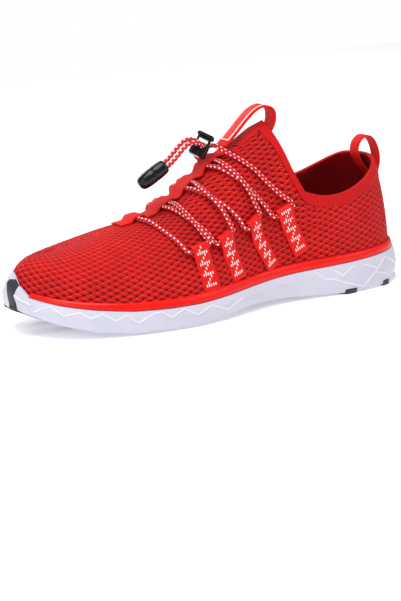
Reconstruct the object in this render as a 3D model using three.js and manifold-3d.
import * as THREE from "three";
import { mergeVertices } from "three/addons/utils/BufferGeometryUtils.js";
import Module from "manifold-3d";

// A knitted slip-on water shoe for the left foot, about EU 42, in millimetres with +Z up.
// X runs from the heel to the toe and Y towards the outer side of the foot.
// It is drawn from the back of the heel at X = 0, and centred at the end of the file.

const soleLength = 292;
const ballWidth = 109;
const heelHeight = 87.5;
const sideHeight = 22;
const bedHeight = 15.5;
const underLift = 18;

const upperWall = 2.2;
const collarWidth = 8;
const collarStep = 0.5;
const insoleThickness = 4;
const insoleLean = 1.5;
const rimWidth = 2.2;
const sideDraft = 2;
const bumperDraft = 4.6;
const edgeRound = 1.6;
const edgeLift = 0.4;
const facetDepth = 0.45;
const treadProud = 0.6;
const treadDepth = 2.4;
const archBulge = 3.5;
const randHeight = 6.2;
const randThickness = 2.1;
const seatGap = 0.3;
const bumperGap = 0.5;
const recessDepth = 2.6;

const strapWidth = 11.5;
const strapThickness = 1.2;
const knuckleRadius = 2.7;
const laceDiameter = 3;
const tapeWidth = 10;
const tapeThickness = 1.2;
const loopWidth = 13;
const loopThickness = 1.4;
const heelLoopWidth = 10;

const lockWidth = 11.7;
const lockDepth = 9;
const lockHeight = 9.8;
const capHeight = 2.8;
const neckHeight = 3.6;
const stemWidth = 9.4;
const stemDepth = 5.4;
const stemLength = 5.9;
const slotWidth = 7.2;
const slotHeight = 3.4;
const slotTop = 0.7;
const buttonTravel = 3;
const endLength = 22;
const endDiameter = 10.5;

// Sole sections from heel to toe. along is a share of soleLength, outer and inner are the
// half widths as shares of ballWidth, under is a share of underLift, side is a share of
// sideHeight, bed is a share of bedHeight and rand is a share of randHeight.
const soleRows = [
  { along: 0.000, outer: -0.037, inner: 0.037, under: 0.09, side: 1.11, bed: 1.06, rand: 0.72 },
  { along: 0.014, outer: 0.124, inner: 0.214, under: 0.05, side: 1.10, bed: 1.05, rand: 0.74 },
  { along: 0.048, outer: 0.239, inner: 0.316, under: 0.02, side: 1.05, bed: 1.02, rand: 0.78 },
  { along: 0.110, outer: 0.323, inner: 0.385, under: 0.00, side: 1.00, bed: 1.00, rand: 0.84 },
  { along: 0.212, outer: 0.365, inner: 0.381, under: 0.00, side: 0.95, bed: 0.98, rand: 0.90 },
  { along: 0.308, outer: 0.339, inner: 0.336, under: 0.08, side: 0.89, bed: 0.90, rand: 0.96 },
  { along: 0.387, outer: 0.342, inner: 0.316, under: 0.18, side: 0.83, bed: 0.83, rand: 1.00 },
  { along: 0.466, outer: 0.396, inner: 0.348, under: 0.22, side: 0.76, bed: 0.77, rand: 1.00 },
  { along: 0.548, outer: 0.477, inner: 0.398, under: 0.12, side: 0.70, bed: 0.68, rand: 0.98 },
  { along: 0.627, outer: 0.516, inner: 0.455, under: 0.00, side: 0.65, bed: 0.60, rand: 0.94 },
  { along: 0.705, outer: 0.516, inner: 0.487, under: 0.00, side: 0.65, bed: 0.57, rand: 0.88 },
  { along: 0.788, outer: 0.485, inner: 0.474, under: 0.03, side: 0.70, bed: 0.61, rand: 0.80 },
  { along: 0.870, outer: 0.412, inner: 0.422, under: 0.18, side: 0.83, bed: 0.74, rand: 0.70 },
  { along: 0.938, outer: 0.291, inner: 0.333, under: 0.49, side: 0.99, bed: 1.01, rand: 0.58 },
  { along: 0.983, outer: 0.110, inner: 0.222, under: 0.83, side: 1.18, bed: 1.32, rand: 0.45 },
  { along: 1.000, outer: -0.069, inner: 0.069, under: 1.00, side: 1.82, bed: 1.48, rand: 0.45 },
];

// Where each wall line of the upper ends: rows 0 to 7 on the collar's edge, rows 7 to 15 on
// the ridge over the foot. along is a share of soleLength, middle and half are shares of
// ballWidth, and up is a share of heelHeight, with lift more of it on the inner side. full is
// the fullness of the wall's curve and kept is how much of the whole arch the line runs through.
const topRows = [
  { along: 0.058, middle: -0.009, half: 0.000, up: 1.000, lift: 0.00, full: 2.00, kept: 0.70 },
  { along: 0.063, middle: -0.009, half: 0.098, up: 0.990, lift: 0.01, full: 2.00, kept: 0.70 },
  { along: 0.082, middle: -0.005, half: 0.188, up: 0.945, lift: 0.05, full: 1.90, kept: 0.68 },
  { along: 0.130, middle: 0.000, half: 0.262, up: 0.850, lift: 0.07, full: 1.75, kept: 0.60 },
  { along: 0.215, middle: 0.000, half: 0.307, up: 0.770, lift: 0.05, full: 1.60, kept: 0.52 },
  { along: 0.305, middle: 0.000, half: 0.305, up: 0.835, lift: 0.02, full: 1.50, kept: 0.58 },
  { along: 0.333, middle: 0.000, half: 0.215, up: 1.130, lift: 0.00, full: 1.55, kept: 0.81 },
  { along: 0.342, middle: 0.000, half: 0.000, up: 1.355, lift: 0.00, full: 1.60, kept: 1.00 },
  { along: 0.459, middle: -0.014, half: 0.000, up: 1.138, lift: 0.00, full: 1.65, kept: 1.00 },
  { along: 0.558, middle: -0.028, half: 0.000, up: 0.882, lift: 0.00, full: 1.75, kept: 1.00 },
  { along: 0.640, middle: -0.037, half: 0.000, up: 0.745, lift: 0.00, full: 1.85, kept: 1.00 },
  { along: 0.716, middle: -0.046, half: 0.000, up: 0.703, lift: 0.00, full: 2.00, kept: 1.00 },
  { along: 0.784, middle: -0.055, half: 0.000, up: 0.650, lift: 0.00, full: 2.20, kept: 1.00 },
  { along: 0.836, middle: -0.060, half: 0.000, up: 0.605, lift: 0.00, full: 2.50, kept: 1.00 },
  { along: 0.866, middle: -0.064, half: 0.000, up: 0.580, lift: 0.00, full: 2.80, kept: 1.00 },
  { along: 0.884, middle: -0.069, half: 0.000, up: 0.567, lift: 0.00, full: 3.10, kept: 1.00 },
];
const apexRow = 7;
const lastRow = soleRows.length - 1;
const columnCount = 4 * lastRow;
const toeColumn = 2 * lastRow;
const wallSteps = 10;

const wasm = await Module();
wasm.setup();

// Rows are joined side by side round the shoe, so a column past the last is the first again.
function wrap(column) {
  return (column + columnCount) % columnCount;
}

// Columns 0 to 30 run up the outer side to the toe and the rest run back on the inner side.
function rowOf(column) {
  return (column <= toeColumn ? column : columnCount - column) / 2;
}

function sideOf(column) {
  return column <= toeColumn ? 1 : -1;
}

function rowValue(rows, key, place) {
  const low = Math.min(Math.floor(place), rows.length - 2);
  return THREE.MathUtils.lerp(rows[low][key], rows[low + 1][key], place - low);
}

// A value of the sole's table at a distance from the heel.
function alongValue(key, x) {
  const share = THREE.MathUtils.clamp(x / soleLength, 0, 1);
  let row = 0;
  while (row < lastRow - 1 && soleRows[row + 1].along < share) {
    row += 1;
  }
  const span = soleRows[row + 1].along - soleRows[row].along;
  return rowValue(soleRows, key, row + (share - soleRows[row].along) / span);
}

function underAt(x) {
  return underLift * alongValue("under", x);
}

function bedAt(x) {
  return bedHeight * alongValue("bed", x);
}

function mirrorRows(rows, first, last, makePoint) {
  const points = [];
  for (let row = first; row <= last; row += 1) {
    points.push(makePoint(rows[row], 1));
  }
  for (let row = last - 1; row > first; row -= 1) {
    points.push(makePoint(rows[row], -1));
  }
  return points;
}

const outline = new THREE.CatmullRomCurve3(
  mirrorRows(soleRows, 0, lastRow, (row, side) => {
    const y = side > 0 ? row.outer * ballWidth : -row.inner * ballWidth;
    return new THREE.Vector3(row.along * soleLength, y, 0);
  }),
  true,
);

function topPoint(row, side) {
  return new THREE.Vector3(
    row.along * soleLength,
    (row.middle + side * row.half) * ballWidth,
    (row.up + (side < 0 ? row.lift : 0)) * heelHeight,
  );
}

const collarEdge = new THREE.CatmullRomCurve3(mirrorRows(topRows, 0, apexRow, topPoint), true);
const ridge = new THREE.CatmullRomCurve3(topRows.slice(apexRow).map((row) => topPoint(row, 1)));

function outlinePoint(column, inset) {
  const at = wrap(column) / columnCount;
  const tangent = outline.getTangent(at);
  const outward = new THREE.Vector3(-tangent.y, tangent.x, 0).normalize();
  return outline.getPoint(at).addScaledVector(outward, -inset);
}

function outwardAt(column) {
  return outlinePoint(column, -1).sub(outlinePoint(column, 0));
}

function topAt(column) {
  const row = rowOf(wrap(column));
  if (row >= apexRow) {
    return ridge.getPoint((row - apexRow) / (lastRow - apexRow));
  }
  const share = row / (2 * apexRow);
  return collarEdge.getPoint(sideOf(wrap(column)) > 0 ? share : 1 - share);
}

// The spine is the line that the sole's flat faces close on.
const spineBack = 0.1;
const spineFront = 0.93;

function spineAt(column) {
  const row = rowOf(wrap(column));
  const middle = (rowValue(soleRows, "outer", row) - rowValue(soleRows, "inner", row)) / 2;
  const share = THREE.MathUtils.clamp(rowValue(soleRows, "along", row), 0, 1);
  const along = THREE.MathUtils.lerp(spineBack, spineFront, share);
  return new THREE.Vector3(along * soleLength, middle * ballWidth, 0);
}

// The top edge of the midsole's side wall, with the bumper over the toe.
function sideTopAt(column) {
  return sideHeight * rowValue(soleRows, "side", rowOf(wrap(column)));
}

// How far a column lies in the bumper: 0 outside it and 1 at the tip of the toe.
function bumperShare(column) {
  return THREE.MathUtils.clamp(rowOf(wrap(column)) - lastRow + 1, 0, 1);
}

function draftAt(column) {
  return THREE.MathUtils.lerp(sideDraft, bumperDraft, bumperShare(column));
}

const upperInset = sideDraft + rimWidth + seatGap;

// The inner side of the wall bulges out over the arch, most at half its height.
const archFirstRow = 4;
const archLastRow = 9;

function bulgeAt(column, share) {
  const along = (rowOf(wrap(column)) - archFirstRow) / (archLastRow - archFirstRow);
  if (sideOf(wrap(column)) > 0 || along < 0 || along > 1) {
    return 0;
  }
  return archBulge * (Math.sin(Math.PI * along) * Math.sin(Math.PI * share)) ** 2;
}

// A point of the upper's outer face: share 0 is its lower edge and share 1 its top. Below the
// lower edge the line goes straight down.
function wallPoint(column, share) {
  const row = rowOf(wrap(column));
  const foot = outlinePoint(column, upperInset);
  foot.z = bedAt(foot.x) + seatGap;
  const top = topAt(column);
  const full = rowValue(topRows, "full", row);
  const kept = rowValue(topRows, "kept", row);
  const bend = (height) => 1 - (1 - height ** full) ** (1 / full);
  const lean = bend(THREE.MathUtils.clamp(kept * share, 0, 1)) / bend(kept);
  const point = foot.clone().lerp(top, lean);
  point.z = THREE.MathUtils.lerp(foot.z, top.z, share);
  return point.addScaledVector(outwardAt(column), bulgeAt(column, share));
}

// The same face at a height above the floor.
function wallAtHeight(column, height) {
  const low = wallPoint(column, 0).z;
  const high = wallPoint(column, 1).z;
  return wallPoint(column, (height - low) / (high - low));
}

// The ribbed collar band is the last two steps of each wall line that ends on the collar.
const bandBevel = 0.4;

function hasBand(column) {
  return rowOf(wrap(column)) <= apexRow;
}

function bandShare(column) {
  const length = wallPoint(column, 0.8).distanceTo(wallPoint(column, 1)) / 0.2;
  return 1 - collarWidth / length;
}

// How far round its curve a wall line has turned at a share of its height, and back.
function turnAt(column, share) {
  const row = rowOf(wrap(column));
  return Math.asin((rowValue(topRows, "kept", row) * share) ** (rowValue(topRows, "full", row) / 2));
}

function shareAt(column, turn) {
  const row = rowOf(wrap(column));
  const share = Math.sin(turn) ** (2 / rowValue(topRows, "full", row));
  return Math.min(share / rowValue(topRows, "kept", row), 1);
}

// Rows along a wall line, spaced evenly round its curve up to the collar band.
function wallShares(column) {
  const last = hasBand(column) ? bandShare(column) : 1;
  const steps = hasBand(column) ? wallSteps - 2 : wallSteps;
  const turn = turnAt(column, last);
  const shares = [];
  for (let step = 0; step <= steps; step += 1) {
    shares.push(shareAt(column, (turn * step) / steps));
  }
  if (hasBand(column)) {
    shares.push(last + ((1 - last) * bandBevel) / collarWidth, 1);
  }
  return shares;
}

// A closed solid from numbered points and flat faces, each face a list of point numbers
// in turn as seen from outside.
function solidOf(points, faces) {
  const values = [];
  for (const face of faces) {
    for (let corner = 1; corner < face.length - 1; corner += 1) {
      for (const index of [face[0], face[corner], face[corner + 1]]) {
        values.push(points[index].x, points[index].y, points[index].z);
      }
    }
  }
  const geometry = new THREE.BufferGeometry();
  geometry.setAttribute("position", new THREE.Float32BufferAttribute(values, 3));
  return cleaned(geometry);
}

function cleaned(geometry) {
  geometry.deleteAttribute("normal");
  geometry.deleteAttribute("uv");
  const merged = mergeVertices(geometry, 1e-3);
  const kept = [];
  const index = merged.getIndex();
  for (let i = 0; i < index.count; i += 3) {
    const [a, b, c] = [index.getX(i), index.getX(i + 1), index.getX(i + 2)];
    if (a !== b && b !== c && c !== a) {
      kept.push(a, b, c);
    }
  }
  merged.setIndex(kept);
  return merged;
}

function toManifold(geometry) {
  const source = cleaned(geometry);
  return new wasm.Manifold(new wasm.Mesh({
    numProp: 3,
    vertProperties: new Float32Array(source.getAttribute("position").array),
    triVerts: new Uint32Array(source.getIndex().array),
  }));
}

function fromManifold(manifold) {
  const mesh = manifold.getMesh();
  const geometry = new THREE.BufferGeometry();
  geometry.setAttribute("position", new THREE.BufferAttribute(mesh.vertProperties, 3));
  geometry.setIndex(new THREE.BufferAttribute(mesh.triVerts, 1));
  return geometry;
}

// Faces between rings of points. crossed(ring, column) picks the other diagonal.
function ringFaces(rings, crossed = () => false, firstColumn = 0, lastColumn = columnCount) {
  const faces = [];
  for (let ring = 0; ring < rings - 1; ring += 1) {
    for (let column = firstColumn; column < lastColumn; column += 1) {
      const next = wrap(column + 1);
      const a = ring * columnCount + wrap(column);
      const b = ring * columnCount + next;
      const c = b + columnCount;
      const d = a + columnCount;
      if (crossed(ring, column)) {
        faces.push([a, d, c], [a, c, b]);
      } else {
        faces.push([a, d, b], [d, c, b]);
      }
    }
  }
  return faces;
}

function ring(makePoint) {
  const points = [];
  for (let column = 0; column < columnCount; column += 1) {
    points.push(makePoint(column));
  }
  return points;
}

// Midsole side levels from the lower edge up: a share of the wall's height, and an inset.
const sideLevels = [
  { height: 0.28, inset: 0.5 },
  { height: 0.52, inset: 0.2 },
  { height: 0.76, inset: 0.6 },
];
const flatShares = [1, 0.55, 0.16];
const cupShares = [1, 0.75, 0.4];
const bedShare = 0.4;

// The midsole's outer skin as rings, from the spine of its underside to the top edge.
// grow moves it out, down and sideways.
function skinRings(grow, faceted) {
  const rings = flatShares.map((share) => ring((column) => {
    const point = outlinePoint(column, edgeRound).lerp(spineAt(column), share);
    point.z = underAt(point.x) + treadProud - grow;
    return point;
  }));
  rings.push(ring((column) => {
    const point = outlinePoint(column, edgeRound - 0.7 * grow);
    point.z = underAt(point.x) + treadProud + edgeLift - 0.7 * grow;
    return point;
  }));
  sideLevels.forEach((level, number) => {
    rings.push(ring((column) => {
      const out = (column + number) % 2 === 0 ? facetDepth : -facetDepth;
      const point = outlinePoint(column, level.inset - grow - (faceted ? out : 0));
      const low = underAt(point.x) + treadProud + edgeLift;
      point.z = THREE.MathUtils.lerp(low, sideTopAt(column), level.height);
      return point;
    }));
  });
  rings.push(ring((column) => {
    const point = outlinePoint(column, draftAt(column) - grow);
    point.z = sideTopAt(column);
    return point;
  }));
  return rings;
}

function makeMidsoleBody() {
  const rings = skinRings(0, true);
  for (const share of cupShares) {
    rings.push(ring((column) => {
      const low = wallPoint(column, 0).z;
      const height = THREE.MathUtils.lerp(low, sideTopAt(column), share);
      const gap = seatGap + bumperGap * bumperShare(column);
      return wallAtHeight(column, height).addScaledVector(outwardAt(column), gap);
    }));
  }
  rings.push(bedRing(0, 0), bedRing(bedShare, 0), bedRing(1, 0));
  const firstSide = flatShares.length;
  const lastSide = firstSide + sideLevels.length;
  const crossed = (ringNumber, column) => (
    ringNumber >= firstSide && ringNumber <= lastSide && (ringNumber + column) % 2 === 0
  );
  return solidOf(rings.flat(), ringFaces(rings.length, crossed));
}

function normalsOf(points, faces) {
  const normals = points.map(() => new THREE.Vector3());
  const keys = points.map((point) => point.toArray().map((v) => Math.round(v * 1000)).join());
  const shared = new Map();
  keys.forEach((key, i) => {
    if (!shared.has(key)) {
      shared.set(key, normals[i]);
    }
  });
  for (const face of faces) {
    const [a, b, c] = face.map((i) => points[i]);
    const normal = b.clone().sub(a).cross(c.clone().sub(a));
    face.forEach((i) => shared.get(keys[i]).add(normal));
  }
  return keys.map((key) => shared.get(key).clone().normalize());
}

// The upper is one knitted shell: an outer and an inner face, open at the collar and below.
function makeUpper() {
  const rings = [];
  for (let step = 0; step <= wallSteps; step += 1) {
    rings.push(ring((column) => wallPoint(column, wallShares(column)[step])));
  }
  const face = rings.flat();
  const outerFaces = ringFaces(rings.length);
  const normals = normalsOf(face, outerFaces);
  const firstBand = (wallSteps - 1) * columnCount;
  const outer = face.map((point, i) => {
    const raised = i >= firstBand && hasBand(i % columnCount) ? collarStep : 0;
    return point.clone().addScaledVector(normals[i], raised);
  });
  const inner = face.map((point, i) => {
    const inward = normals[i].clone();
    if (i < columnCount) {
      inward.setZ(0).normalize();
    }
    return point.clone().addScaledVector(inward, -upperWall);
  });
  const innerFaces = outerFaces.map((corners) => corners.map((i) => i + outer.length).reverse());
  const faces = outerFaces.concat(innerFaces);
  const lastRing = wallSteps * columnCount;
  for (let column = 0; column < columnCount; column += 1) {
    const next = wrap(column + 1);
    faces.push([column, next, next + outer.length, column + outer.length]);
    if (rowOf(column) < apexRow || rowOf(next) < apexRow) {
      const a = lastRing + column;
      const b = lastRing + next;
      faces.push([b, a, a + outer.length, b + outer.length]);
    }
  }
  return solidOf(outer.concat(inner), faces);
}

// A point of the bed that foot and insole lie on, from the wall's foot to the spine.
function bedPoint(column, share) {
  const foot = outlinePoint(column, upperInset - seatGap);
  foot.z = bedAt(foot.x);
  const line = outlinePoint(column, upperInset).lerp(spineAt(column), Math.max(share, bedShare));
  line.z = bedAt(line.x);
  return foot.lerp(line, Math.min(share / bedShare, 1));
}

function bedRing(share, lift) {
  return ring((column) => {
    const point = bedPoint(column, share);
    return point.setZ(point.z + lift);
  });
}

// The insole's edge leans in with the wall beside it.
function insoleEdge(lift) {
  return ring((column) => {
    const outward = outwardAt(column);
    const line = bedPoint(column, 0).sub(bedPoint(column, bedShare));
    const start = wallPoint(column, 0);
    const wall = wallAtHeight(column, start.z + lift);
    const lean = Math.max(start.sub(wall).dot(outward), 0);
    const inset = upperWall + 2 * seatGap + lean * insoleLean;
    const point = bedPoint(column, (bedShare * inset) / line.dot(outward));
    return point.setZ(point.z + lift);
  });
}

function makeInsole() {
  const top = seatGap + insoleThickness;
  const rings = [
    bedRing(1, seatGap),
    bedRing(bedShare, seatGap),
    insoleEdge(seatGap),
    insoleEdge(top),
    bedRing(1, top),
  ];
  return solidOf(rings.flat(), ringFaces(rings.length, (ringNumber) => ringNumber < 2));
}

// The rand runs from the bumper back round the heel and forward to the bumper again. Its
// section is a table of points: off is a share of randThickness and up of its height there.
const randSection = [
  { off: 0.00, up: 0.00 },
  { off: 0.90, up: 0.00 },
  { off: 1.00, up: 0.42 },
  { off: 0.72, up: 0.84 },
  { off: 0.36, up: 1.00 },
  { off: 0.00, up: 1.00 },
];
const randEnd = 2;

function makeRand(grow, drop) {
  const points = [];
  const faces = [];
  const count = randSection.length;
  const first = toeColumn + randEnd;
  const last = columnCount + toeColumn - randEnd;
  for (let column = first; column <= last; column += 1) {
    const height = randHeight * rowValue(soleRows, "rand", rowOf(wrap(column)));
    for (const corner of randSection) {
      const level = sideTopAt(column) + seatGap + corner.up * height;
      const off = seatGap + corner.off * randThickness + (corner.off > 0 ? grow : -grow);
      const moved = level + (corner.up > 0 ? grow : -drop);
      points.push(wallAtHeight(column, moved).addScaledVector(outwardAt(column), off));
    }
  }
  for (let step = 0; step < last - first; step += 1) {
    for (let corner = 0; corner < count; corner += 1) {
      const a = step * count + corner;
      const b = step * count + ((corner + 1) % count);
      faces.push([a, b + count, a + count], [a, b, b + count]);
    }
  }
  const start = randSection.map((corner, i) => count - 1 - i);
  faces.push(start, start.map((i) => points.length - 1 - i));
  return solidOf(points, faces);
}

// The treads are black bars set in the midsole. A row for each bar: its two ends as shares of
// soleLength and ballWidth, and its width at each end as a share of barWidth.
const barWidth = 9;
const toeBars = [
  { from: 1.010, fromSide: -0.024, to: 0.833, toSide: 0.013, wide: 0.78, tip: 0.86 },
  { from: 0.833, fromSide: 0.010, to: 0.767, toSide: 0.067, wide: 0.73, tip: 0.49 },
  { from: 0.825, fromSide: 0.020, to: 0.760, toSide: -0.169, wide: 0.98, tip: 1.07 },
  { from: 0.775, fromSide: -0.142, to: 0.709, toSide: -0.067, wide: 0.82, tip: 0.57 },
  { from: 0.780, fromSide: -0.162, to: 0.845, toSide: -0.206, wide: 0.78, tip: 0.78 },
  { from: 0.845, fromSide: -0.206, to: 0.981, toSide: -0.245, wide: 0.78, tip: 0.70 },
  { from: 0.765, fromSide: -0.148, to: 0.724, toSide: -0.263, wide: 1.22, tip: 1.14 },
  { from: 0.729, fromSide: -0.250, to: 0.649, toSide: -0.162, wide: 1.07, tip: 0.57 },
  { from: 0.724, fromSide: -0.277, to: 0.865, toSide: -0.429, wide: 0.98, tip: 0.49 },
  { from: 0.724, fromSide: -0.263, to: 0.669, toSide: -0.337, wide: 1.14, tip: 1.07 },
  { from: 0.674, fromSide: -0.331, to: 0.588, toSide: -0.243, wide: 1.07, tip: 0.66 },
  { from: 0.598, fromSide: -0.250, to: 0.719, toSide: -0.486, wide: 0.98, tip: 0.98 },
];
const heelBars = [
  { from: 0.193, fromSide: 0.364, to: 0.238, toSide: 0.175, wide: 0.98, tip: 1.07 },
  { from: 0.238, fromSide: 0.189, to: 0.160, toSide: 0.128, wide: 0.73, tip: 0.98 },
  { from: 0.165, fromSide: 0.128, to: 0.074, toSide: 0.297, wide: 1.07, tip: 0.57 },
  { from: 0.165, fromSide: 0.135, to: 0.115, toSide: 0.027, wide: 0.90, tip: 0.98 },
  { from: 0.115, fromSide: 0.027, to: 0.011, toSide: 0.101, wide: 0.90, tip: 0.57 },
  { from: 0.115, fromSide: 0.027, to: 0.072, toSide: -0.013, wide: 0.98, tip: 0.98 },
  { from: 0.079, fromSide: 0.000, to: 0.044, toSide: -0.150, wide: 1.07, tip: 1.14 },
  { from: 0.058, fromSide: -0.172, to: 0.010, toSide: -0.182, wide: 1.07, tip: 0.73 },
];
// The first bar of the toe tread also climbs the bumper, as a thinner strip.
const bumperStrip = 36;
const bumperDepth = 1;
const bumperFrom = 0.93;
const treadInset = 0.6;

function boxSolid(low, high) {
  const size = high.clone().sub(low);
  const block = new THREE.BoxGeometry(size.x, size.y, size.z);
  const centre = low.clone().add(high).multiplyScalar(0.5);
  return toManifold(block.translate(centre.x, centre.y, centre.z));
}

function barPrism(bar, grow) {
  const start = new THREE.Vector2(bar.from * soleLength, bar.fromSide * ballWidth);
  const end = new THREE.Vector2(bar.to * soleLength, bar.toSide * ballWidth);
  const along = end.clone().sub(start).normalize();
  const across = new THREE.Vector2(-along.y, along.x);
  const corner = (at, ahead, aside) => (
    at.clone().addScaledVector(along, ahead).addScaledVector(across, aside)
  );
  const wide = (bar.wide * barWidth) / 2 + grow;
  const tip = (bar.tip * barWidth) / 2 + grow;
  const shape = new THREE.Shape([
    corner(start, -grow, -wide),
    corner(end, grow, -tip),
    corner(end, grow, tip),
    corner(start, -grow, wide),
  ]);
  const depth = bumperStrip + sideHeight;
  const prism = new THREE.ExtrudeGeometry(shape, { depth, bevelEnabled: false });
  return toManifold(prism.translate(0, 0, bumperStrip + grow - depth));
}

function barsOf(bars, grow) {
  return bars.map((bar) => barPrism(bar, grow)).reduce((all, bar) => all.add(bar));
}

// A layer of even thickness along the underside, from below it up into the midsole.
function underLayer(below, depth) {
  const low = [];
  const high = [];
  for (let row = 0; row <= lastRow; row += 1) {
    const x = soleRows[row].along * soleLength;
    low.push(new THREE.Vector2(x, underAt(x) + treadProud - below));
    high.unshift(new THREE.Vector2(x, underAt(x) + treadProud + depth));
  }
  low[0].x -= sideDraft;
  high[lastRow].x -= sideDraft;
  low[lastRow].x += sideDraft;
  high[0].x += sideDraft;
  const shape = new THREE.Shape(low.concat(high));
  const layer = new THREE.ExtrudeGeometry(shape, { depth: 2 * ballWidth, bevelEnabled: false });
  return toManifold(layer.rotateX(Math.PI / 2).translate(0, ballWidth, 0));
}

function outlinePrism(inset) {
  const shape = new THREE.Shape(ring((column) => outlinePoint(column, inset)));
  const prism = new THREE.ExtrudeGeometry(shape, { depth: 2 * sideHeight, bevelEnabled: false });
  return toManifold(prism.translate(0, 0, -sideHeight / 2));
}

// Everything inside the midsole's outer skin, moved out by grow and closed above by raise.
function skinSolid(grow, raise) {
  const rings = skinRings(grow, false);
  const top = rings[rings.length - 1].map((point) => point.clone().setZ(point.z + raise));
  const middle = top.map((point, column) => spineAt(column).setZ(bumperStrip + raise));
  rings.push(top, middle);
  return toManifold(solidOf(rings.flat(), ringFaces(rings.length)));
}

function bumperLayer(grow, depth, raise) {
  const from = bumperFrom * soleLength - grow;
  const low = new THREE.Vector3(from, -ballWidth, -sideHeight);
  const high = new THREE.Vector3(soleLength + sideHeight, ballWidth, 3 * sideHeight);
  const layer = skinSolid(grow, raise).subtract(skinSolid(-depth, sideHeight));
  return layer.intersect(boxSolid(low, high));
}

function makeTread(bars) {
  return barsOf(bars, 0)
    .intersect(underLayer(treadProud, treadDepth))
    .intersect(outlinePrism(treadInset));
}

function makeToeTread() {
  return makeTread(toeBars)
    .add(barPrism(toeBars[0], 0).intersect(bumperLayer(treadProud, bumperDepth, 0)));
}

function treadSeats() {
  const under = underLayer(sideHeight, treadDepth + seatGap);
  const climb = bumperLayer(sideDraft, bumperDepth + seatGap, sideDraft);
  return barsOf(toeBars.concat(heelBars), seatGap)
    .intersect(under)
    .add(barPrism(toeBars[0], seatGap).intersect(climb));
}

// The larger diamond recesses between the treads: middle, length and width.
const recesses = [
  { along: 0.820, across: 0.128, length: 11.8, width: 8.8 },
  { along: 0.760, across: 0.155, length: 11.0, width: 8.4 },
  { along: 0.704, across: 0.202, length: 13.2, width: 6.6 },
  { along: 0.654, across: 0.256, length: 11.0, width: 5.9 },
  { along: 0.603, across: 0.297, length: 8.8, width: 4.4 },
  { along: 0.704, across: 0.040, length: 14.4, width: 8.1 },
  { along: 0.649, across: 0.105, length: 13.2, width: 6.6 },
  { along: 0.603, across: 0.169, length: 8.8, width: 5.9 },
  { along: 0.646, across: -0.061, length: 14.0, width: 8.1 },
  { along: 0.597, across: 0.027, length: 10.3, width: 5.9 },
  { along: 0.558, across: 0.105, length: 8.1, width: 4.4 },
  { along: 0.590, across: -0.135, length: 12.6, width: 7.6 },
  { along: 0.547, across: -0.034, length: 9.6, width: 5.9 },
  { along: 0.533, across: -0.189, length: 11.0, width: 7.4 },
  { along: 0.842, across: -0.085, length: 10.4, width: 6.6 },
  { along: 0.905, across: -0.130, length: 11.8, width: 7.4 },
  { along: 0.287, across: 0.150, length: 9.6, width: 7.4 },
  { along: 0.265, across: 0.017, length: 10.3, width: 6.6 },
  { along: 0.215, across: -0.054, length: 13.2, width: 8.8 },
  { along: 0.165, across: 0.025, length: 12.6, width: 7.4 },
  { along: 0.163, across: -0.162, length: 17.7, width: 11.8 },
  { along: 0.110, across: -0.085, length: 11.0, width: 8.1 },
  { along: 0.222, across: -0.216, length: 12.5, width: 9.6 },
];

function recessPrism(recess) {
  const x = recess.along * soleLength;
  const y = recess.across * ballWidth;
  const shape = new THREE.Shape([
    new THREE.Vector2(x - recess.length / 2, y),
    new THREE.Vector2(x, y - recess.width / 2),
    new THREE.Vector2(x + recess.length / 2, y),
    new THREE.Vector2(x, y + recess.width / 2),
  ]);
  const floor = underAt(x) + treadProud + recessDepth;
  const prism = new THREE.ExtrudeGeometry(shape, { depth: floor + 1, bevelEnabled: false });
  return toManifold(prism.translate(0, 0, -1));
}

function makeMidsole() {
  let solid = toManifold(makeMidsoleBody());
  for (const recess of recesses) {
    solid = solid.subtract(recessPrism(recess));
  }
  return solid.subtract(treadSeats());
}

// The upper's outer face at a place of its own, with the way out of it.
function wallSeat(column, share) {
  const reach = 0.02;
  const high = Math.min(share + reach, 1);
  const up = wallPoint(column, high).sub(wallPoint(column, high - 2 * reach));
  const along = wallPoint(column + reach, share).sub(wallPoint(column - reach, share));
  return { at: wallPoint(column, share), out: up.cross(along).normalize() };
}

function ridgeSeat(place) {
  const at = ridge.getPoint(place);
  const tangent = ridge.getTangent(place);
  return { at, out: new THREE.Vector3(-tangent.z, 0, tangent.x).normalize() };
}

function lifted(seat, height) {
  return seat.at.clone().addScaledVector(seat.out, height);
}

// A closed flat band through stations, each with its middle and the way its face looks.
function band(stations, width, thickness) {
  const points = [];
  const faces = [];
  stations.forEach(({ at, out }, number) => {
    const before = stations[Math.max(number - 1, 0)].at;
    const after = stations[Math.min(number + 1, stations.length - 1)].at;
    const side = out.clone().cross(after.clone().sub(before)).normalize();
    for (const [across, through] of [[-1, -1], [1, -1], [1, 1], [-1, 1]]) {
      const point = at.clone().addScaledVector(side, (across * width) / 2);
      points.push(point.addScaledVector(out, (through * thickness) / 2));
    }
  });
  for (let start = 0; start < points.length - 4; start += 4) {
    for (let corner = 0; corner < 4; corner += 1) {
      const a = start + corner;
      const b = start + ((corner + 1) % 4);
      faces.push([a, b, b + 4, a + 4]);
    }
  }
  const last = points.length - 4;
  faces.push([3, 2, 1, 0], [last, last + 1, last + 2, last + 3]);
  return solidOf(points, faces);
}

// A closed round cord through a list of points.
const cordSides = 8;

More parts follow.
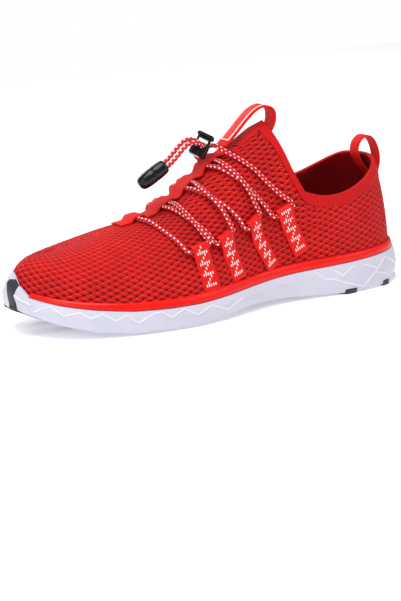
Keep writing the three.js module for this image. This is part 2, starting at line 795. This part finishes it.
function cord(route, diameter) {
  const points = [];
  const faces = [];
  let across = new THREE.Vector3(0, 0, 1);
  route.forEach((at, number) => {
    const before = route[Math.max(number - 1, 0)];
    const after = route[Math.min(number + 1, route.length - 1)];
    const forward = after.clone().sub(before).normalize();
    across = across.clone().addScaledVector(forward, -across.dot(forward)).normalize();
    const beside = forward.clone().cross(across);
    for (let side = 0; side < cordSides; side += 1) {
      const angle = (2 * Math.PI * side) / cordSides;
      const point = at.clone().addScaledVector(across, (Math.cos(angle) * diameter) / 2);
      points.push(point.addScaledVector(beside, (Math.sin(angle) * diameter) / 2));
    }
  });
  for (let start = 0; start < points.length - cordSides; start += cordSides) {
    for (let side = 0; side < cordSides; side += 1) {
      const a = start + side;
      const b = start + ((side + 1) % cordSides);
      faces.push([a, b, b + cordSides, a + cordSides]);
    }
  }
  const cap = Array.from({ length: cordSides }, (value, side) => side);
  faces.push(cap.map((side) => cordSides - 1 - side));
  faces.push(cap.map((side) => points.length - cordSides + side));
  return solidOf(points, faces);
}

// Straps from under the rand up to their knuckles: columns of the outer side, and the share of
// the wall's height that they reach. The inner side mirrors them.
const strapRows = [
  { foot: 16.8, top: 17.8, share: 0.53 },
  { foot: 14.4, top: 16.1, share: 0.46 },
  { foot: 11.8, top: 14.1, share: 0.43 },
  { foot: 9.7, top: 11.8, share: 0.58 },
];
const strapLift = 0.7;
const strapSteps = 5;
const knuckleSteps = 8;
const knuckleTurn = (300 * Math.PI) / 180;

function columnOn(side, column) {
  return side > 0 ? column : columnCount - column;
}

// The strap's foot ends behind the rand.
const footRise = 0.68;

function footShare(column) {
  const low = wallPoint(column, 0).z;
  const rise = footRise * randHeight * rowValue(soleRows, "rand", rowOf(column));
  return (sideTopAt(column) + rise - low) / (wallPoint(column, 1).z - low);
}

// The knuckle's middle and its axis, which runs towards the toe on the outer side.
function knuckleOf(row, side) {
  const seat = wallSeat(columnOn(side, row.top), row.share);
  const foot = wallSeat(columnOn(side, row.foot), footShare(row.foot));
  const rise = lifted(seat, 0).sub(foot.at);
  const forward = rise.addScaledVector(seat.out, -rise.dot(seat.out)).normalize();
  const centre = lifted(seat, strapLift + strapThickness / 2 + knuckleRadius);
  return { seat, forward, centre, axis: seat.out.clone().cross(forward).multiplyScalar(side) };
}

const strapTuck = 4;
const randClearance = toManifold(makeRand(seatGap, strapTuck));

function makeStrap(row, side) {
  const knuckle = knuckleOf(row, side);
  const stations = [];
  for (let step = 0; step <= strapSteps; step += 1) {
    const rise = step / (strapSteps + 0.4);
    const column = THREE.MathUtils.lerp(row.foot, row.top, rise);
    const share = THREE.MathUtils.lerp(footShare(row.foot), row.share, rise);
    const seat = wallSeat(columnOn(side, column), share);
    stations.push({ at: lifted(seat, strapLift + strapThickness / 2), out: seat.out });
  }
  for (let step = 0; step <= knuckleSteps; step += 1) {
    const turn = (knuckleTurn * step) / knuckleSteps;
    const out = knuckle.seat.out.clone().multiplyScalar(Math.cos(turn));
    out.addScaledVector(knuckle.forward, -Math.sin(turn));
    stations.push({ at: knuckle.centre.clone().addScaledVector(out, -knuckleRadius), out });
  }
  return toManifold(band(stations, strapWidth, strapThickness)).subtract(randClearance);
}

// Places along the ridge from the collar (0) to the toe (1) where the tape humps over the
// lace. spread is how far apart the two strands enter.
const channels = [
  { place: 0.431, spread: 0 },
  { place: 0.308, spread: 4.4 },
  { place: 0.228, spread: 4.4 },
  { place: 0.143, spread: 4.4 },
];
const tapeStart = 0.487;
const tapeEnd = 0.085;
const tapeSteps = 32;
const tapeLift = 0.9;
const humpHeight = laceDiameter + 0.8;
const humpReach = 4.6;

function humpAt(at) {
  let height = 0;
  for (const channel of channels) {
    const reach = humpReach + channel.spread / 2;
    const distance = at.distanceTo(ridge.getPoint(channel.place)) / reach;
    if (distance < 1) {
      height = humpHeight * Math.min(2.2 * (1 - distance), 1);
    }
  }
  return height;
}

function makeTape() {
  const stations = [];
  for (let step = 0; step <= tapeSteps; step += 1) {
    const seat = ridgeSeat(THREE.MathUtils.lerp(tapeStart, tapeEnd, step / tapeSteps));
    const at = lifted(seat, tapeLift + tapeThickness / 2 + humpAt(seat.at));
    stations.push({ at, out: seat.out });
  }
  return band(stations, tapeWidth, tapeThickness);
}

// Pull loops in the shoe's middle plane: x and z as shares of soleLength and heelHeight. The
// heel loop's ends are sewn on at heights of their own, outside and inside the wall.
const tongueLoopRows = [
  { x: 0.4555, z: 1.196 },
  { x: 0.4400, z: 1.242 },
  { x: 0.4180, z: 1.308 },
  { x: 0.3930, z: 1.392 },
  { x: 0.3680, z: 1.458 },
  { x: 0.3430, z: 1.480 },
  { x: 0.3210, z: 1.448 },
  { x: 0.3170, z: 1.385 },
  { x: 0.3230, z: 1.306 },
  { x: 0.3450, z: 1.230 },
];
const heelSeatsOutside = [0.800, 0.845];
const heelSeatsInside = [0.825, 0.785];
const heelLoopSag = 0.8;
const heelLoopRows = [
  { x: 0.0315, z: 0.900 },
  { x: 0.0295, z: 0.970 },
  { x: 0.0360, z: 1.060 },
  { x: 0.0500, z: 1.135 },
  { x: 0.0700, z: 1.145 },
  { x: 0.0880, z: 1.095 },
  { x: 0.0930, z: 1.020 },
  { x: 0.0850, z: 0.960 },
  { x: 0.0755, z: 0.905 },
  { x: 0.0635, z: 0.862 },
];

function loopRoute(rows) {
  return rows.map((row) => new THREE.Vector3(row.x * soleLength, 0, row.z * heelHeight));
}

function heelSeat(height, lift) {
  const low = wallPoint(0, 0).z;
  const share = (height * heelHeight - low) / (wallPoint(0, 1).z - low);
  return lifted(wallSeat(0, share), lift).setY(0);
}

function heelLoopRoute() {
  const lift = seatGap + strapThickness / 2;
  return [
    ...heelSeatsOutside.map((height) => heelSeat(height, lift)),
    ...loopRoute(heelLoopRows),
    ...heelSeatsInside.map((height) => heelSeat(height, -lift - upperWall - heelLoopSag)),
  ];
}

function makeLoop(route, width, thickness) {
  const stations = route.map((at, number) => {
    const before = route[Math.max(number - 1, 0)];
    const after = route[Math.min(number + 1, route.length - 1)];
    const forward = after.clone().sub(before);
    return { at, out: new THREE.Vector3(forward.z, 0, -forward.x).normalize() };
  });
  return band(stations, width, thickness);
}

// The lock: its sleeve leans back from upright and is turned towards the outer side. The
// lace's two ends pass through its slot from behind to the front.
const lockPlace = { x: 0.512, z: 1.195 };
const lockLean = (34 * Math.PI) / 180;
const lockTurn = (55 * Math.PI) / 180;
const slotMiddle = lockHeight / 2 - slotTop - slotHeight / 2;
const strandOffset = 1.75;

function lockMatrix() {
  const matrix = new THREE.Matrix4().makeTranslation(
    lockPlace.x * soleLength,
    0,
    lockPlace.z * heelHeight,
  );
  matrix.multiply(new THREE.Matrix4().makeRotationY(-lockLean));
  return matrix.multiply(new THREE.Matrix4().makeRotationZ(lockTurn - Math.PI / 2));
}

function lockPoint(across, front, up) {
  return new THREE.Vector3(across, front, up).applyMatrix4(lockMatrix());
}

function roundedPrism(width, depth, low, high, corner, bevel) {
  const [x, y] = [width / 2 - bevel, depth / 2 - bevel];
  const radius = corner - bevel;
  const shape = new THREE.Shape();
  shape.absarc(x - radius, y - radius, radius, 0, Math.PI / 2);
  shape.absarc(radius - x, y - radius, radius, Math.PI / 2, Math.PI);
  shape.absarc(radius - x, radius - y, radius, Math.PI, 1.5 * Math.PI);
  shape.absarc(x - radius, radius - y, radius, 1.5 * Math.PI, 2 * Math.PI);
  const prism = new THREE.ExtrudeGeometry(shape, {
    depth: high - low - 2 * bevel,
    bevelThickness: bevel,
    bevelSize: bevel,
    bevelSegments: 1,
    curveSegments: 2,
  });
  return toManifold(prism.translate(0, 0, low + bevel));
}

function centredBox(width, depth, low, high) {
  return boxSolid(
    new THREE.Vector3(-width / 2, -depth / 2, low),
    new THREE.Vector3(width / 2, depth / 2, high),
  );
}

function makeLockBody() {
  const [low, high] = [-lockHeight / 2, lockHeight / 2];
  const body = roundedPrism(lockWidth, lockDepth, low, high, 2.6, 0.8);
  const wellFloor = high - stemLength - buttonTravel - seatGap;
  const well = centredBox(stemWidth + 2 * seatGap, stemDepth + 2 * seatGap, wellFloor, high + 1);
  const slot = centredBox(
    slotWidth,
    2 * lockDepth,
    slotMiddle - slotHeight / 2,
    slotMiddle + slotHeight / 2,
  );
  return body.subtract(well).subtract(slot);
}

// The button's stem is cut away for the lace over its whole travel.
function makeLockButton() {
  const top = lockHeight / 2 + neckHeight;
  const cap = roundedPrism(lockWidth + 0.5, lockDepth, top, top + capHeight, 2.6, 0.8);
  const stem = centredBox(stemWidth, stemDepth, lockHeight / 2 - stemLength, top + 0.5);
  const slot = centredBox(
    slotWidth - 2 * seatGap,
    2 * lockDepth,
    slotMiddle - slotHeight / 2 - seatGap,
    slotMiddle + slotHeight / 2 + buttonTravel + seatGap,
  );
  return cap.add(stem.subtract(slot));
}

// The lace starts under the first hump. Each strand threads a knuckle from its toe end, goes
// on under the next hump to the knuckle on the other side, and ends at the back of the lock.
const laceLift = laceDiameter / 2 + 1.1;
const knuckleExit = 2.8;
const humpExit = 0.9;
const humpShare = 0.985;

function onWall(side, column, share, lift) {
  return lifted(wallSeat(columnOn(side, column), share), lift);
}

function humpMouth(channel, side, forward) {
  const seat = ridgeSeat(channel.place);
  const point = lifted(seat, laceLift);
  point.addScaledVector(ridge.getTangent(channel.place), (forward * channel.spread) / 2);
  point.y += side * (tapeWidth / 2 + humpExit);
  return point;
}

// A place between two others on the wall, with its lift.
function hop(side, from, to, along, lift) {
  const column = THREE.MathUtils.lerp(from.column, to.column, along);
  const turn = THREE.MathUtils.lerp(
    turnAt(from.column, from.share),
    turnAt(to.column, to.share),
    along,
  );
  return onWall(side, column, shareAt(column, turn), lift);
}

const laceHops = [
  { along: 0.28, lift: 3.2 },
  { along: 0.56, lift: 2.4 },
  { along: 0.80, lift: 2.8 },
];

// Columns of the humps on the ridge.
function humpColumn(channel) {
  return 2 * (apexRow + channel.place * (lastRow - apexRow));
}

function strandRoute(start) {
  const route = [];
  let side = start;
  strapRows.forEach((row, number) => {
    const channel = channels[number];
    const reach = strapWidth / 2 + knuckleExit;
    const { centre, axis } = knuckleOf(row, side);
    const toeEnd = { column: row.top + 0.6, share: row.share - 0.03 };
    const heelEnd = { column: row.top - 0.6, share: row.share + 0.04 };
    const under = { column: humpColumn(channel), share: humpShare };
    if (number === 0) {
      route.push(lifted(ridgeSeat(channel.place), laceLift));
    }
    route.push(humpMouth(channel, side, -1));
    for (const { along, lift } of laceHops.slice().reverse()) {
      route.push(hop(side, toeEnd, under, along, lift));
    }
    route.push(centre.clone().addScaledVector(axis, reach));
    route.push(centre.clone().addScaledVector(axis, -reach));
    const next = channels[number + 1];
    if (next) {
      const over = { column: humpColumn(next), share: humpShare };
      for (const { along, lift } of laceHops) {
        route.push(hop(side, heelEnd, over, along, lift));
      }
      route.push(humpMouth(next, side, 1));
      side = -side;
    }
  });
  return { route, side };
}

// The last stretch of each strand, as places from the lock's middle: across it, in front of
// it and up its sleeve. The outer strand comes round behind the lock.
const slotMouth = lockDepth / 2 + seatGap;
const outerTail = [
  lockPoint(-10.5, -0.2, 6.9),
  lockPoint(-7.5, -5.0, 7.6),
  lockPoint(-5.0, -9.0, 7.1),
  lockPoint(-2.6, -9.3, 4.6),
  lockPoint(-strandOffset, -6.6, slotMiddle),
  lockPoint(-strandOffset, -slotMouth, slotMiddle),
];
const innerTail = [
  lockPoint(1.2, -13.2, -3.0),
  lockPoint(strandOffset, -9.2, 0.8),
  lockPoint(strandOffset, -6.6, slotMiddle),
  lockPoint(strandOffset, -slotMouth, slotMiddle),
];
const tailHops = [
  { along: 0.35, lift: 3.4 },
  { along: 0.70, lift: 2.6 },
  { along: 1.00, lift: 2.8 },
];

function makeLace() {
  const strands = [1, -1].map((start) => {
    const { route, side } = strandRoute(start);
    const last = strapRows[strapRows.length - 1];
    const low = { column: last.top - 0.6, share: last.share + 0.04 };
    const high = { column: 15.4, share: 0.93 };
    for (const { along, lift } of tailHops) {
      route.push(hop(side, low, high, along, lift));
    }
    route.push(...(side > 0 ? outerTail : innerTail));
    return toManifold(cord(route, laceDiameter));
  });
  return strands[0].add(strands[1]);
}

// The doubled end of the lace in front of the lock, in millimetres from the heel's back.
const endRoute = [
  [150.4, 3.9, 108.3],
  [153.6, 7.2, 110.3],
  [158.5, 9.0, 112.2],
  [163.8, 9.5, 111.9],
  [167.9, 9.2, 109.1],
  [171.5, 8.5, 105.4],
  [175.2, 7.5, 101.5],
  [178.8, 6.8, 98.5],
].map((place) => new THREE.Vector3(...place));
const strandSteps = 8;
const endGap = 0.5;
const endAxis = new THREE.Vector3(0.834, -0.142, -0.535).normalize();

function makeStrand(side) {
  const across = lockPoint(1, 0, 0).sub(lockPoint(0, 0, 0));
  const centre = new THREE.CatmullRomCurve3(endRoute);
  const points = endRoute.map((at, number) => {
    const forward = centre.getTangent(number / (endRoute.length - 1));
    const beside = across.clone().addScaledVector(forward, -across.dot(forward)).normalize();
    return at.clone().addScaledVector(beside, side * strandOffset);
  });
  const circle = [];
  for (let corner = 0; corner < cordSides; corner += 1) {
    const angle = (2 * Math.PI * corner) / cordSides;
    circle.push(new THREE.Vector2(Math.cos(angle), Math.sin(angle)).multiplyScalar(laceDiameter / 2));
  }
  return new THREE.ExtrudeGeometry(new THREE.Shape(circle), {
    steps: strandSteps,
    extrudePath: new THREE.CatmullRomCurve3(points),
  });
}

// The cord end is turned, with a groove where its two halves meet. radius is a share of half
// endDiameter and up is a share of endLength.
const endProfile = [
  { radius: 0.00, up: 0.00 },
  { radius: 0.72, up: 0.00 },
  { radius: 0.88, up: 0.05 },
  { radius: 0.98, up: 0.22 },
  { radius: 1.00, up: 0.44 },
  { radius: 0.92, up: 0.45 },
  { radius: 0.92, up: 0.47 },
  { radius: 1.00, up: 0.48 },
  { radius: 0.97, up: 0.72 },
  { radius: 0.80, up: 0.92 },
  { radius: 0.45, up: 0.99 },
  { radius: 0.00, up: 1.00 },
];
const endSegments = 12;

function makeCordEnd() {
  const profile = endProfile.map((row) => (
    new THREE.Vector2((row.radius * endDiameter) / 2, row.up * endLength)
  ));
  return cleaned(new THREE.LatheGeometry(profile, endSegments));
}

const shoe = new THREE.Group();

function addPart(name, geometry, color, roughness, metalness = 0) {
  const material = new THREE.MeshStandardMaterial({ color, roughness, metalness });
  const mesh = new THREE.Mesh(geometry, material);
  mesh.name = name;
  shoe.add(mesh);
  return mesh;
}

const knitRed = 0xd8140f;
const foamWhite = 0xe4e4ee;
const insoleGrey = 0x4a4a52;

const randRed = 0xe01810;
const rubberBlack = 0x202226;
const tapeRed = 0xd01a12;
const laceRed = 0xe03028;
const plasticBlack = 0x15161a;

addPart("midsole", fromManifold(makeMidsole()), foamWhite, 0.6);
addPart("upper", makeUpper(), knitRed, 0.9);
addPart("insole", makeInsole(), insoleGrey, 0.95);
addPart("rand", makeRand(0, 0), randRed, 0.3);
addPart("toe_tread", fromManifold(makeToeTread()), rubberBlack, 0.7);
addPart("heel_tread", fromManifold(makeTread(heelBars)), rubberBlack, 0.7);
for (const [name, side] of [["outer", 1], ["inner", -1]]) {
  strapRows.forEach((row, number) => {
    addPart(`strap_${name}_${number + 1}`, fromManifold(makeStrap(row, side)), tapeRed, 0.7);
  });
}
addPart("instep_webbing", makeTape(), tapeRed, 0.8);
const tongueLoop = makeLoop(loopRoute(tongueLoopRows), loopWidth, loopThickness);
addPart("tongue_loop", tongueLoop, tapeRed, 0.8);
addPart("heel_loop", makeLoop(heelLoopRoute(), heelLoopWidth, strapThickness), tapeRed, 0.8);

addPart("lace", fromManifold(makeLace()), laceRed, 0.8);
addPart("lock_body", fromManifold(makeLockBody()), plasticBlack, 0.3).applyMatrix4(lockMatrix());
addPart("lock_button", fromManifold(makeLockButton()), plasticBlack, 0.3).applyMatrix4(lockMatrix());
addPart("cord_strand_a", makeStrand(-1), laceRed, 0.8);
addPart("cord_strand_b", makeStrand(1), laceRed, 0.8);
const cordEnd = addPart("cord_end", makeCordEnd(), plasticBlack, 0.3);
cordEnd.position.copy(endRoute[endRoute.length - 1]).addScaledVector(endAxis, endGap);
cordEnd.quaternion.setFromUnitVectors(new THREE.Vector3(0, 1, 0), endAxis);

// The origin is the middle of the shoe's box, on the floor.
const box = new THREE.Box3().setFromObject(shoe);
const middle = box.getCenter(new THREE.Vector3());
shoe.position.set(-middle.x, -middle.y, -box.min.z);

export default shoe;
